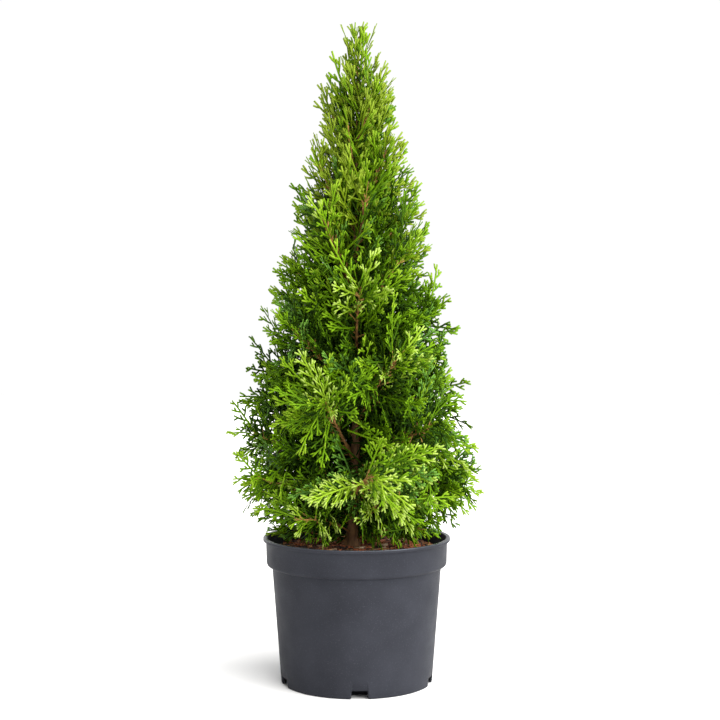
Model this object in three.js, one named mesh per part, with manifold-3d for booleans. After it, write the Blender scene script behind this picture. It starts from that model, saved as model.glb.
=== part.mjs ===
// A young thuja in a round nursery pot: a conical evergreen whose flat, fern-like sprays grow on boughs
// that rise in a spiral from one straight trunk. Millimetres, +Z up. The origin is on the ground under the
// middle of the pot, and the plant's front faces -Y.

import * as THREE from "three";
import { mergeVertices } from "three/addons/utils/BufferGeometryUtils.js";
import Module from "manifold-3d";

const wasm = await Module();
wasm.setup();

// ---------------------------------------------------------------- driving dimensions

const TOTAL_HEIGHT = 670;
const GAP = 0.3; // clearance between pieces that touch on the real plant
const ROUND_SIDES = 36; // sides of the pot and of the soil in it

const POT = {
  height: 147,
  wall: 1.8,
  footRadius: 76.7,
  shoulderRadius: 85.9, // the body's outer radius where it meets the band
  bandRadius: 91.5, // the band round the mouth, at its foot
  bandTopRadius: 92.2,
  bandHeight: 29,
  lipRadius: 95,
  lipHeight: 3.5,
  lipRound: 1.4, // the lip's outer edge is broken by this much
  floorRaise: 8.5, // air under the pot's floor, for drainage
  floor: 2,
  ribInset: 18, // from the foot's outside to the ring rib under the floor
  rib: 1.6,
};

const DRAIN = {
  count: 5,
  width: 16.5,
  height: 8.5,
  slotDepth: 9, // how far each slot cuts into the floor's edge
  turn: -Math.PI / 2 + 0.04, // bearing of the first slot, at the front
};

const SOIL = {
  depth: 13, // below the pot's lip
  dome: 2.5, // rise at the trunk
  flatRadius: 15,
};

const TRUNK = {
  footX: -5,
  topX: 2,
  sway: 2.2,
  swayTurns: 0.83, // waves of sway from foot to tip
  footRadius: 6.2,
  topRadius: 1.1,
  taper: 0.75, // below 1 thins faster at the foot
  flare: 2.6, // added by the root flare at soil level
  flareHeight: 9,
  leaderLength: 118, // green shoot above the woody tip
  sides: 8,
  rings: 14,
};

const CROWN = {
  radius: 135, // at the widest height
  widest: 228,
  taper: 0.8, // 1 would be a straight cone
  reach: 0.965, // a limb's tip against the crown's radius
  fringe: 10, // how far sprays may stand out of the crown
  hem: 0.32, // how much the crown draws in again by the pot's lip
  hemDrop: 80,
};

const LIMBS = {
  count: 32,
  withBough: 24, // the upper masses grow straight from the trunk
  seed: 80,
  lowest: 9, // above the soil
  highest: 404,
  crowding: 1.12, // above 1 puts more of them low down
  footAngleLow: 44,
  footAngleHigh: 66,
  tipAngleLow: -6,
  tipAngleHigh: 64,
  roll: 0.45, // most turn of a limb's sprays about it, in radians
  boughShare: 0.27, // of the limb's length, bare wood
  stemShare: 0.66, // of the limb's length, where the end spray takes over
  boughRadius: 2.7,
  stemRadius: 1.2,
  leastRadius: 0.55,
  upperGirth: 0.55, // of the highest limb against the lowest
};

const HEART = {
  radius: 21,
  share: 0.46, // of the way to the nearest other limb
  end: 0.84, // of the limb's length
  sides: 5,
  // how full it is at shares of its length, from the bare stem to its end
  shape: [[0, 0], [0.13, 0.06], [0.42, 0.95], [0.72, 0.9], [1, 0]],
};

const SPRAY = {
  perMass: 6, // besides the one at the tip
  thickness: 1.1,
  rib: 1.7, // half width of the midrib at its root
  rootHalfWidth: 0.55,
  angle: 52, // between the stem and the first spray
  endAngle: 34, // and the last
  longest: 80,
  shortest: 20,
  share: 0.64, // of the limb's length
  toothAngle: 38,
  toothShare: 0.68, // longest tooth against the spray's length
  threeTeethFrom: 58,
  bare: 0.28, // of its length, before the first tooth
  sunk: 0.4, // how far the root goes past the stem's middle
  spacing: 1.2, // clear of the neighbouring mass's space
  clearance: 3, // above soil and pot
  droop: 0.16, // fall of the tip against the spray's length
  sizes: [1, 0.86, 0.74, 0.62, 0.5], // tried in turn, against the longest that suits the mass
  breadths: [1, 0.72, 0.5], // tried in turn at each size
};

const LEADER = {
  sprays: 9, // besides the one at the tip
  first: 0.07, // of its length
  last: 0.74,
  longest: 46,
  shortest: 12,
  footAngle: 27,
  tipAngle: 18,
};

const COLOURS = { pot: 0x3f4147, soil: 0x3a2418, bark: 0x6b4a30, foliage: 0x4f7d22, tips: 0x7da336 };

// ---------------------------------------------------------------- small helpers

const radians = THREE.MathUtils.degToRad;
const lerp = THREE.MathUtils.lerp;
const clamp = THREE.MathUtils.clamp;
const GOLDEN_ANGLE = Math.PI * (3 - Math.sqrt(5));

// A repeatable number from -1 to 1 for one limb and one use of it.
function jitter(limb, use) {
  const v = Math.sin(LIMBS.seed + limb * 12.9898 + use * 78.233) * 43758.5453;
  return 2 * (v - Math.floor(v)) - 1;
}

// A closed geometry as a solid that can be joined and cut.
function toSolid(geometry) {
  const loose = geometry.index ? geometry.toNonIndexed() : geometry;
  const bare = new THREE.BufferGeometry();
  bare.setAttribute("position", loose.getAttribute("position"));
  const merged = mergeVertices(bare, 1e-3);
  const index = merged.index.array;
  const triVerts = [];
  for (let i = 0; i < index.length; i += 3) {
    const [a, b, c] = [index[i], index[i + 1], index[i + 2]];
    if (a !== b && b !== c && c !== a) triVerts.push(a, b, c);
  }
  return new wasm.Manifold(
    new wasm.Mesh({
      numProp: 3,
      vertProperties: new Float32Array(merged.attributes.position.array),
      triVerts: new Uint32Array(triVerts),
    }),
  );
}

function toGeometry(solid) {
  const mesh = solid.getMesh();
  const geometry = new THREE.BufferGeometry();
  geometry.setAttribute("position", new THREE.BufferAttribute(mesh.vertProperties, 3));
  geometry.setIndex(new THREE.BufferAttribute(mesh.triVerts, 1));
  geometry.computeVertexNormals();
  return geometry;
}

const plant = new THREE.Group();

function addNode(name, solid, colour, roughness) {
  const material = new THREE.MeshStandardMaterial({ color: colour, roughness, metalness: 0 });
  const mesh = new THREE.Mesh(toGeometry(solid), material);
  mesh.name = name;
  plant.add(mesh);
}

// A profile of [radius, height] points turned about the Z axis.
function turned(profile) {
  const points = profile.map(([radius, height]) => new THREE.Vector2(radius, height));
  return toSolid(new THREE.LatheGeometry(points, ROUND_SIDES).rotateX(Math.PI / 2));
}

// A tapering limb: rings of vertices, closed by a flat cap at each end. The rings are square to the path, or
// to the one axis given.
function limbSolid(points, radii, sides, axis = null) {
  const positions = [];
  const ring = points.map((point, i) => {
    const before = points[Math.max(i - 1, 0)];
    const after = points[Math.min(i + 1, points.length - 1)];
    const along = axis ?? after.clone().sub(before).normalize();
    const side = new THREE.Vector3(1, 0, 0).addScaledVector(along, -along.x).normalize();
    const up = along.clone().cross(side);
    const first = positions.length / 3;
    for (let k = 0; k < sides; k++) {
      const turn = (2 * Math.PI * k) / sides;
      const at = point.clone().addScaledVector(side, radii[i] * Math.cos(turn));
      at.addScaledVector(up, radii[i] * Math.sin(turn));
      positions.push(at.x, at.y, at.z);
    }
    return first;
  });
  const index = [];
  for (let i = 0; i + 1 < ring.length; i++)
    for (let k = 0; k < sides; k++) {
      const next = (k + 1) % sides;
      index.push(ring[i] + k, ring[i] + next, ring[i + 1] + k);
      index.push(ring[i] + next, ring[i + 1] + next, ring[i + 1] + k);
    }
  const last = ring[ring.length - 1];
  for (let k = 1; k + 1 < sides; k++) {
    index.push(ring[0], ring[0] + k + 1, ring[0] + k);
    index.push(last, last + k, last + k + 1);
  }
  const geometry = new THREE.BufferGeometry();
  geometry.setAttribute("position", new THREE.Float32BufferAttribute(positions, 3));
  geometry.setIndex(index);
  return toSolid(geometry);
}

// ---------------------------------------------------------------- pot and soil

const soilTop = POT.height - SOIL.depth + SOIL.dome;
const bandFoot = POT.height - POT.bandHeight;

// The body's outer radius at a height below the band.
const bodyRadius = (z) => lerp(POT.footRadius, POT.shoulderRadius, z / bandFoot);

function potSolid() {
  const { wall, floorRaise, floor, height } = POT;
  const insideRibOuter = POT.footRadius - POT.ribInset;
  const floorTop = floorRaise + floor;
  const lipFoot = height - POT.lipHeight;
  const shell = turned([
    [0, floorRaise],
    [insideRibOuter - POT.rib, floorRaise],
    [insideRibOuter - POT.rib, 0],
    [insideRibOuter, 0],
    [insideRibOuter, floorRaise],
    [bodyRadius(floorRaise) - wall, floorRaise],
    [POT.footRadius - wall, 0],
    [POT.footRadius, 0],
    [POT.shoulderRadius, bandFoot],
    [POT.bandRadius, bandFoot + wall],
    [POT.bandTopRadius, lipFoot],
    [POT.lipRadius, lipFoot + POT.lipRound / 2],
    [POT.lipRadius, height - POT.lipRound],
    [POT.lipRadius - POT.lipRound, height],
    [POT.bandTopRadius - wall, height],
    [POT.bandRadius - wall, bandFoot + 2 * wall],
    [POT.shoulderRadius - wall, bandFoot + wall],
    [bodyRadius(floorTop) - wall, floorTop],
    [0, floorTop],
  ]);
  // Each notch in the foot runs on into a slot through the edge of the floor.
  const slotInner = POT.footRadius - DRAIN.slotDepth;
  const slotLength = DRAIN.slotDepth - 2 * wall;
  const cutters = [];
  for (let i = 0; i < DRAIN.count; i++) {
    const bearing = DRAIN.turn + (2 * Math.PI * i) / DRAIN.count;
    const notch = new THREE.BoxGeometry(2 * DRAIN.slotDepth, DRAIN.width, 2 * DRAIN.height);
    notch.translate(POT.footRadius, 0, 0).rotateZ(bearing);
    const slot = new THREE.BoxGeometry(slotLength, DRAIN.width, 4 * floorTop);
    slot.translate(slotInner + slotLength / 2, 0, 0).rotateZ(bearing);
    cutters.push(toSolid(notch), toSolid(slot));
  }
  return shell.subtract(wasm.Manifold.union(cutters));
}

// The soil fills the pot to below its lip and rises a little to a level spot round the trunk.
function soilSolid() {
  const floorTop = POT.floorRaise + POT.floor + GAP;
  const inside = POT.wall + GAP;
  const edge = POT.height - SOIL.depth;
  return turned([
    [0, floorTop],
    [bodyRadius(floorTop) - inside, floorTop],
    [POT.shoulderRadius - inside, bandFoot + POT.wall],
    [POT.bandRadius - inside, bandFoot + 2 * POT.wall + GAP],
    [lerp(POT.bandRadius, POT.bandTopRadius, 0.5) - inside, edge],
    [SOIL.flatRadius, soilTop],
    [0, soilTop],
  ]);
}

// ---------------------------------------------------------------- trunk

const trunkFootZ = soilTop + GAP;
const trunkTopZ = TOTAL_HEIGHT - TRUNK.leaderLength;

// The middle of the trunk at a height; above the woody tip it is the leader's line.
function trunkPoint(z) {
  const rise = (z - trunkFootZ) / (trunkTopZ - trunkFootZ);
  const sway = TRUNK.sway * Math.sin(2 * Math.PI * TRUNK.swayTurns * rise);
  return new THREE.Vector3(lerp(TRUNK.footX, TRUNK.topX, Math.min(rise, 1)) + sway, sway, z);
}

function trunkRadius(z) {
  const rise = clamp((z - trunkFootZ) / (trunkTopZ - trunkFootZ), 0, 1);
  const stem = lerp(TRUNK.footRadius, TRUNK.topRadius, Math.pow(rise, TRUNK.taper));
  return stem + TRUNK.flare * Math.exp(-(z - trunkFootZ) / TRUNK.flareHeight);
}

// The trunk, or with a margin the space kept clear round it.
function trunkSolid(margin = 0) {
  const points = [];
  const radii = [];
  for (let i = 0; i <= TRUNK.rings; i++) {
    const z = lerp(trunkFootZ, trunkTopZ, Math.pow(i / TRUNK.rings, 1.4));
    const overhang = i === 0 ? -margin : i === TRUNK.rings ? margin : 0;
    points.push(trunkPoint(z).setZ(z + overhang));
    radii.push(trunkRadius(z) + margin);
  }
  return limbSolid(points, radii, TRUNK.sides, new THREE.Vector3(0, 0, 1));
}

// ---------------------------------------------------------------- where the limbs run

// The crown's outer radius at a height.
function crownRadius(z) {
  const { radius, widest, taper, hem, hemDrop } = CROWN;
  if (z < widest) return radius * (1 - hem * Math.pow((widest - z) / hemDrop, 2));
  return radius * Math.pow(Math.max(0, (TOTAL_HEIGHT - z) / (TOTAL_HEIGHT - widest)), taper);
}

// One limb of the spiral: it leaves the trunk at footAngle above the level, and bends evenly until it points
// at tipAngle. Its length is found by halving, so that its tip comes to the crown's surface.
function makeLimb(i) {
  const share = i / (LIMBS.count - 1);
  const tipShare = Math.pow(share, 0.7);
  const limb = {
    i,
    share,
    footZ: trunkFootZ + lerp(LIMBS.lowest, LIMBS.highest, Math.pow(share, LIMBS.crowding)),
    bearing: i * GOLDEN_ANGLE + 0.14 * jitter(i, 1),
    sweep: 0.16 * jitter(i, 2),
    footAngle: radians(lerp(LIMBS.footAngleLow, LIMBS.footAngleHigh, share) + 5 * jitter(i, 3)),
    tipAngle: radians(lerp(LIMBS.tipAngleLow, LIMBS.tipAngleHigh, tipShare) + 6 * jitter(i, 4)),
    roll: LIMBS.roll * jitter(i, 5),
    hasBough: i < LIMBS.withBough,
    length: 1,
  };
  const reach = CROWN.reach + (1 - CROWN.reach) * jitter(i, 6);
  let [short, long] = [10, 400];
  while (long - short > 0.01) {
    limb.length = (short + long) / 2;
    const tip = limbOffset(limb, limb.length);
    if (tip.out < reach * crownRadius(limb.footZ + tip.up)) short = limb.length;
    else long = limb.length;
  }
  return limb;
}

// How far out and up a limb has come at a distance along it.
function limbOffset(limb, s) {
  const bend = (limb.tipAngle - limb.footAngle) / limb.length;
  const angle = limb.footAngle + bend * s;
  return {
    out: (Math.sin(angle) - Math.sin(limb.footAngle)) / bend,
    up: (Math.cos(limb.footAngle) - Math.cos(angle)) / bend,
  };
}

function limbPoint(limb, s) {
  const { out, up } = limbOffset(limb, s);
  const bearing = limb.bearing + limb.sweep * Math.pow(s / limb.length, 2);
  const foot = trunkPoint(limb.footZ);
  return foot.add(new THREE.Vector3(out * Math.cos(bearing), out * Math.sin(bearing), up));
}

// The leader is one more limb, straight up from the trunk's tip.
const leader = {
  i: LIMBS.count,
  share: 1,
  footZ: trunkTopZ,
  bearing: 0,
  roll: 0,
  length: TRUNK.leaderLength,
  isLeader: true,
};

const pointOn = (limb, s) => (limb.isLeader ? trunkPoint(limb.footZ + s) : limbPoint(limb, s));

function directionOn(limb, s) {
  const step = 0.5;
  return pointOn(limb, s + step).sub(pointOn(limb, s - step)).normalize();
}

// Distance from a point to a limb's line, which is taken as short straight pieces.
function distanceToLimb(point, limb) {
  let nearest = Infinity;
  const closest = new THREE.Vector3();
  for (const piece of limb.pieces) {
    piece.closestPointToPoint(point, true, closest);
    nearest = Math.min(nearest, closest.distanceTo(point));
  }
  return nearest;
}

const limbs = [];
for (let i = 0; i < LIMBS.count; i++) limbs.push(makeLimb(i));
const growth = [...limbs, leader];
const LINE_PIECES = 8;
for (const limb of growth) {
  const step = limb.length / LINE_PIECES;
  limb.pieces = [];
  for (let k = 0; k < LINE_PIECES; k++)
    limb.pieces.push(new THREE.Line3(pointOn(limb, k * step), pointOn(limb, (k + 1) * step)));
}

// ---------------------------------------------------------------- sprays

// The flat outline of a spray along +X: a midrib with teeth that alternate from side to side. The tips are
// sharp, so the blade thins to a point there.
function sprayOutline(length, breadth) {
  const teeth = length > SPRAY.threeTeethFrom ? 3 : 2; // on each side
  const pitch = ((0.9 - SPRAY.bare) * length) / (teeth + 0.5);
  const edge = (side, start) => {
    const points = [];
    for (let k = 0; k <= teeth; k++) {
      const x = start + k * pitch;
      const left = 1 - x / length;
      const rib = SPRAY.rib * lerp(0.5, 1, left);
      points.push({ x, y: side * rib, sharp: false });
      if (k === teeth) break;
      const reach = breadth * SPRAY.toothShare * length * Math.pow(left - 0.5 * (pitch / length), 0.75);
      points.push({
        x: x + 0.6 * pitch + reach * Math.cos(radians(SPRAY.toothAngle)),
        y: side * (rib + reach * Math.sin(radians(SPRAY.toothAngle))),
        sharp: true,
      });
    }
    return points;
  };
  const root = (side) => ({ x: -SPRAY.sunk, y: side * SPRAY.rootHalfWidth, sharp: false });
  const start = SPRAY.bare * length;
  const lower = edge(-1, start);
  const upper = edge(1, start + pitch / 2).reverse();
  return [root(-1), ...lower, { x: length, y: 0, sharp: true }, ...upper, root(1)];
}

// Everything that places one spray: where it roots, the way it points, and the way its flat side faces. It
// leans from the stem by aim.angle, goes round the stem by aim.turn, and twists on itself by aim.twist.
function placeSpray(limb, s, aim, length, breadth) {
  const along = directionOn(limb, s);
  const level = new THREE.Vector3(-Math.sin(limb.bearing), Math.cos(limb.bearing), 0);
  level.addScaledVector(along, -level.dot(along)).normalize();
  const facing = level.applyAxisAngle(along, limb.roll + aim.turn);
  const direction = along.clone().applyAxisAngle(facing, aim.angle);
  const flat = facing.applyAxisAngle(direction, aim.twist);
  return { root: pointOn(limb, s), direction, flat, length, breadth };
}

const sprayMatrix = ({ root, direction, flat }) =>
  new THREE.Matrix4().makeBasis(direction, flat.clone().cross(direction), flat).setPosition(root);

// Sprays bend towards the ground, the more the further out.
function bent(point, spray) {
  const fall = spray.flat.z > 0 ? -SPRAY.droop : SPRAY.droop;
  point.z += (fall * point.x * Math.abs(point.x)) / spray.length;
  return point;
}

// The blade: the outline once above and once below the spray's plane, joined at the sharp points.
function spraySolid(spray) {
  const outline = sprayOutline(spray.length, spray.breadth);
  const positions = [];
  const addVertex = ({ x, y }, z) => {
    const at = bent(new THREE.Vector3(x, y, z), spray);
    positions.push(at.x, at.y, at.z);
    return positions.length / 3 - 1;
  };
  const top = outline.map((point) => addVertex(point, point.sharp ? 0 : SPRAY.thickness / 2));
  const bottom = outline.map((point, k) => (point.sharp ? top[k] : addVertex(point, -SPRAY.thickness / 2)));
  const index = [];
  const flat = outline.map(({ x, y }) => new THREE.Vector2(x, y));
  for (const [a, b, c] of THREE.ShapeUtils.triangulateShape(flat, []))
    index.push(top[a], top[b], top[c], bottom[c], bottom[b], bottom[a]);
  for (let k = 0; k < outline.length; k++) {
    const next = (k + 1) % outline.length;
    index.push(bottom[k], bottom[next], top[k], bottom[next], top[next], top[k]);
  }
  const geometry = new THREE.BufferGeometry();
  geometry.setAttribute("position", new THREE.Float32BufferAttribute(positions, 3));
  geometry.setIndex(index);
  return toSolid(geometry.applyMatrix4(sprayMatrix(spray)));
}

// Whether a spray stays in its own mass's space, inside the crown, and clear of trunk and pot.
function hasRoom(spray, limb) {
  const matrix = sprayMatrix(spray);
  return sprayOutline(spray.length, spray.breadth).every(({ x, y }) => {
    if (x <= 0) return true;
    const point = bent(new THREE.Vector3(x, y, 0), spray).applyMatrix4(matrix);
    return isOpen(point) && isOwn(point, limb);
  });
}

// Whether a point is inside the crown, and clear of trunk, soil and pot.
function isOpen(point) {
  const { clearance, spacing } = SPRAY;
  const out = Math.hypot(point.x, point.y);
  const overPot = out > POT.bandRadius - POT.wall - clearance;
  const floor = overPot ? POT.height : soilTop;
  if (point.z > TOTAL_HEIGHT || point.z < floor + clearance) return false;
  if (out > crownRadius(point.z) + CROWN.fringe) return false;
  if (point.z > trunkTopZ + clearance) return true;
  return point.distanceTo(trunkPoint(point.z)) > trunkRadius(point.z) + spacing;
}

// Whether a point is nearer to this limb than to any other.
function isOwn(point, limb) {
  const own = distanceToLimb(point, limb) + SPRAY.spacing;
  return growth.every((other) => other === limb || distanceToLimb(point, other) > own);
}

// The broadest and longest of a few sizes of the spray that has room, or nothing.
function fitted(limb, s, aim, longest, shortest) {
  for (const size of SPRAY.sizes) {
    const length = longest * size;
    if (length < shortest) return null;
    for (const breadth of SPRAY.breadths) {
      const spray = placeSpray(limb, s, aim, length, breadth);
      if (hasRoom(spray, limb)) return spray;
    }
  }
  return null;
}

// ---------------------------------------------------------------- boughs and masses

const stemStart = (limb) => (limb.hasBough ? LIMBS.boughShare * limb.length + GAP : 0);

// A limb thins from its foot to the end of its stem, and the upper limbs are thinner.
function boughRadiusAt(limb, s) {
  const girth = lerp(1, LIMBS.upperGirth, limb.share);
  return girth * lerp(LIMBS.boughRadius, LIMBS.stemRadius, s / (LIMBS.stemShare * limb.length));
}

function limbStretch(limb, from, to, steps, sides) {
  const points = [];
  const radii = [];
  for (let k = 0; k <= steps; k++) {
    const s = lerp(from, to, k / steps);
    points.push(pointOn(limb, s));
    radii.push(Math.max(LIMBS.leastRadius, boughRadiusAt(limb, s)));
  }
  return limbSolid(points, radii, sides);
}

const trunkSpace = trunkSolid(GAP);

function boughSolid(limb) {
  return limbStretch(limb, 0, LIMBS.boughShare * limb.length, 3, 5).subtract(trunkSpace);
}

// Sprays go round the stem by quarter turns, shorter towards the tip, and the last one carries the stem on.
function massSprays(limb) {
  const sprays = [];
  const from = limb.hasBough ? LIMBS.boughShare : 0.12;
  const longest = clamp(SPRAY.share * limb.length, SPRAY.shortest, SPRAY.longest);
  for (let k = 0; k < SPRAY.perMass; k++) {
    const along = (k + 0.5) / SPRAY.perMass;
    const s = limb.length * lerp(from, LIMBS.stemShare, along);
    const aim = {
      angle: radians(lerp(SPRAY.angle, SPRAY.endAngle, along) + 6 * jitter(limb.i, 10 + k)),
      turn: (k * Math.PI) / 2 + 0.4 * jitter(limb.i, 20 + k),
      twist: 0.35 * jitter(limb.i, 30 + k),
    };
    const size = longest * (1 + 0.1 * jitter(limb.i, 40 + k));
    sprays.push(fitted(limb, s, aim, size, SPRAY.shortest));
  }
  const end = LIMBS.stemShare * limb.length - 1;
  const length = pointOn(limb, limb.length).distanceTo(pointOn(limb, end));
  const half = directionOn(limb, (end + limb.length) / 2).angleTo(directionOn(limb, end));
  const aim = { angle: half, turn: -limb.roll, twist: 0.5 * jitter(limb.i, 50) };
  sprays.push(fitted(limb, end, aim, length, length / 2));
  return sprays.filter(Boolean);
}

// The leader's sprays stand close round it and lean less and less.
function leaderSprays() {
  const { first, last, longest, shortest } = LEADER;
  const sprays = [];
  for (let k = 0; k < LEADER.sprays; k++) {
    const along = k / (LEADER.sprays - 1);
    const s = lerp(first, last, along) * leader.length;
    const aim = {
      angle: radians(lerp(LEADER.footAngle, LEADER.tipAngle, along)),
      turn: k * GOLDEN_ANGLE,
      twist: 0.4 * jitter(leader.i, k),
    };
    sprays.push(fitted(leader, s, aim, Math.min(leader.length - s, longest), shortest));
  }
  const end = last * leader.length;
  sprays.push(fitted(leader, end, { angle: 0, turn: 0, twist: 0 }, leader.length - end, shortest));
  return sprays.filter(Boolean);
}

// The stem of a mass, which swells into a close heart of foliage that the sprays stand out of.
function heartSolid(limb) {
  const points = [];
  const radii = [];
  const others = growth.filter((other) => other !== limb);
  for (const [along, fullness] of HEART.shape) {
    const s = lerp(stemStart(limb), HEART.end * limb.length, along);
    const point = pointOn(limb, s);
    const room = Math.min(...others.map((other) => distanceToLimb(point, other)));
    const heart = Math.min(HEART.radius, HEART.share * room);
    points.push(point);
    radii.push(lerp(boughRadiusAt(limb, s), heart, fullness));
  }
  return limbSolid(points, radii, HEART.sides);
}

function massSolid(limb) {
  const joined = wasm.Manifold.union([heartSolid(limb), ...massSprays(limb).map(spraySolid)]);
  return limb.hasBough ? joined : joined.subtract(trunkSpace);
}

function leaderSolid() {
  const stem = limbStretch(leader, GAP, (LEADER.last + 0.02) * leader.length, 4, 3);
  return wasm.Manifold.union([stem, ...leaderSprays().map(spraySolid)]);
}

// ---------------------------------------------------------------- the whole plant

const numbered = (word, i) => `${word}_${String(i + 1).padStart(2, "0")}`;

addNode("pot", potSolid(), COLOURS.pot, 0.55);
addNode("soil", soilSolid(), COLOURS.soil, 0.95);
addNode("trunk", trunkSolid(), COLOURS.bark, 0.85);
for (const limb of limbs) {
  if (limb.hasBough) addNode(numbered("bough", limb.i), boughSolid(limb), COLOURS.bark, 0.85);
  addNode(numbered("foliage", limb.i), massSolid(limb), COLOURS.foliage, 0.6);
}
addNode("foliage_leader", leaderSolid(), COLOURS.tips, 0.6);

export default plant;
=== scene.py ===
"""A young thuja in a nursery pot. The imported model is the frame: this script grows the fine sprays, the bark,
the compost and the moulded pot on it, and sets the floor, lights and camera. The plant's rule is in
millimetres, +Z up, with the origin on the ground under the middle of the pot, and -Y towards the camera. It
becomes metres where meshes are made. All angles are in degrees where no comment says otherwise."""

import math
from types import SimpleNamespace as Values

import bpy
import numpy as np
from mathutils import Matrix, Vector, noise


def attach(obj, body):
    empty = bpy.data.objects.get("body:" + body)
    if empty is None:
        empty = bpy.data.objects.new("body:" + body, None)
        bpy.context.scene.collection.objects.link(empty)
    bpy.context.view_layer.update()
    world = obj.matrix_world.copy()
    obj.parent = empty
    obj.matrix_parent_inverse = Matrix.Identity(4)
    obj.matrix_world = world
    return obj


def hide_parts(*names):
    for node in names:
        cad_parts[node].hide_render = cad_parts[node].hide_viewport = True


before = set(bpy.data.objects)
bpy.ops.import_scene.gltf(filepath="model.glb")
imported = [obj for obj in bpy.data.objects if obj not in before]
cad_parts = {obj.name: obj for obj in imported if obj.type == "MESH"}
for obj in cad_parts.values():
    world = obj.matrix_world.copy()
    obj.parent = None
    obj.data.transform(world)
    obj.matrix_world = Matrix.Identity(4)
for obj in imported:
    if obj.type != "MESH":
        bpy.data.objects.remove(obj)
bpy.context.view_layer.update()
BODY = "root"
MM = 0.001

# ---- dimensions, which are the source's where it has them

TOTAL_HEIGHT = 670.0

POT = Values(
    height=147.0, wall=1.8, floor_raise=8.5, floor=2.0, rib_inset=18.0, rib=1.6,
    foot_radius=76.7, shoulder_radius=85.9, band_radius=91.5, band_top_radius=92.2,
    band_height=29.0, band_corner=3.8, lip_radius=95.0, lip_height=3.5, lip_round=0.9,
)
DRAIN = Values(
    count=5, width=16.5, height=8.5, slot_depth=9.0, draft=0.5,
    turn=-math.pi / 2 + 0.04,  # radians, the bearing of the first notch
    flare=2.2,  # on each side, at the ground
    flare_height=1.8,
    spare=(3.0, 6.0),  # how far the cutter runs past the foot, downwards and outwards
)
SOIL = Values(depth=13.0, dome=2.5, flat_radius=15.0, lump=1.6, lump_scale=0.09, settled=1.0)
TRUNK = Values(
    foot_x=-5.0, top_x=2.0, sway=2.2, sway_turns=0.83, leader_length=118.0,
    foot_radius=6.2, top_radius=1.1, taper=0.75, flare=2.6, flare_height=9.0,
)
CROWN = Values(radius=135.0, widest=228.0, taper=0.8, reach=0.965, hem=0.32, hem_drop=80.0)
LIMBS = Values(
    count=32, seed=80, lowest=9.0, highest=404.0, crowding=1.12,
    foot_angle=(44.0, 66.0), tip_angle=(-6.0, 64.0),
    roll=0.45,  # radians
    levelling=0.7,  # how soon the tips turn upwards from the lowest limb to the highest
    stem_share=0.66, bough_radius=2.7, stem_radius=1.2, upper_girth=0.55,
)
LIMB_UNEVEN = Values(bearing=0.14, sweep=0.16, foot_angle=5.0, tip_angle=6.0)  # first two in radians
LEAST_GIRTH = 0.55  # the radius of a limb's thin end
GAP = 0.3  # round the compost, to the pot and to the trunk
GOLDEN_ANGLE = math.pi * (3 - math.sqrt(5))  # radians

SOIL_TOP = POT.height - SOIL.depth + SOIL.dome
TRUNK_FOOT = SOIL_TOP + GAP
TRUNK_TOP = TOTAL_HEIGHT - TRUNK.leader_length
BAND_FOOT = POT.height - POT.band_height

# ---- how fine the sprays are, in millimetres

# A pair runs from the lowest limb to the highest where its comment doesn't say otherwise. One for uneven or
# length is the least and the most of a random draw, and one for width goes from foot to tip.
SPRAY = Values(
    per_limb=(58, 34),
    first=0.06, last=0.84,  # of the limb's length, between which sprays root
    end_roots=(0.6, 0.72, 0.8),  # of the limb's length, for the sprays that carry its line on
    end_length=1.08,  # of what is left of the limb there
    root_angle=(70.0, 44.0),  # between limb and spray at the limb's foot
    end_angle=(40.0, 22.0),
    share=(0.5, 0.85),  # of the limb's length
    longest=82.0, shortest=26.0,
    least=18.0,  # a spray with less room than this doesn't grow
    sizes=(1, 0.88, 0.76, 0.64, 0.52, 0.4),  # tried in turn, until one fits in the crown
    corners=((1, 0, 0), (0.55, 0.4, 0), (0.55, -0.4, 0)),  # its tip and widest places, for a length of 1
    noded=0.88,  # the part of the main axis that side axes take up
    main_curve=0.3,  # radians, at most, to either side
    main_width=(0.95, 0.8),  # from foot to tip, against the grain's width
    bare=0.17,  # of the main axis, at its foot
    bare_width=0.8,
    droop=0.16,  # how far its end bends to the side that faces down
    sag=(0.16, -0.3),  # how far its end bends towards the ground
    cup=0.16,  # how far its sides bend down
    flatness=0.4,  # the thickness of a ribbon against its width
    tilt=0.35,  # radians that its flat side may lean from upright
    ahead=30.0,  # how far along it the way out is taken
    laid=0.42,  # the share of sprays that lie along the crown's surface
    stand_off=(0.1, 0.6),  # how much of its outward slant a laid spray keeps, least and most
    laid_turn=(0.0, 35.0),  # of its flat side from facing out, least and most, as in the next two
    standing_turn=(50.0, 90.0),
    other_turn=(10.0, 80.0),  # of sprays at a limb's end, inside the crown and on the leader
)
SIDE = Values(
    share=0.35,  # the longest side axis against the spray's length
    extra=(0.5, 0.8),  # of a twiglet's length, least and most, added to that
    uneven=(0.82, 1.1),
    swell=(0.6, 2.0),  # side axes are this short at the spray's root, and grow at this rate along it
    angle=(52.0, 38.0),  # from the spray's root to its tip
    wander=0.1,  # radians
    curve=-0.3,  # radians, back towards the main axis
    ruffle=0.2,  # how far it may lean out of the spray's plane
    taper=0.8, width=(0.8, 1.0), tip_width=0.75,
)
TWIGLET = Values(
    angle=48.0, tilt=0.15, uneven=(0.85, 1.1), width=(0.8, 1.0, 0.75),
    wander=0.12, curve=-0.3,  # radians
    length=(0.35, 0.62),  # this part of what is left of the axis, and this part of the grain's twig
    dark_width=(0.95, 0.8),  # a shaded one is straight, in one step
)
# Low sprays are finer than high ones.
GRAIN = {
    "node": (5.7, 7.4),  # between side axes on the main axis
    "twig_node": (4.8, 6.0),  # between twiglets on a side axis
    "twig": (5.8, 6.3),
    "width": (2.1, 2.55),
}
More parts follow.
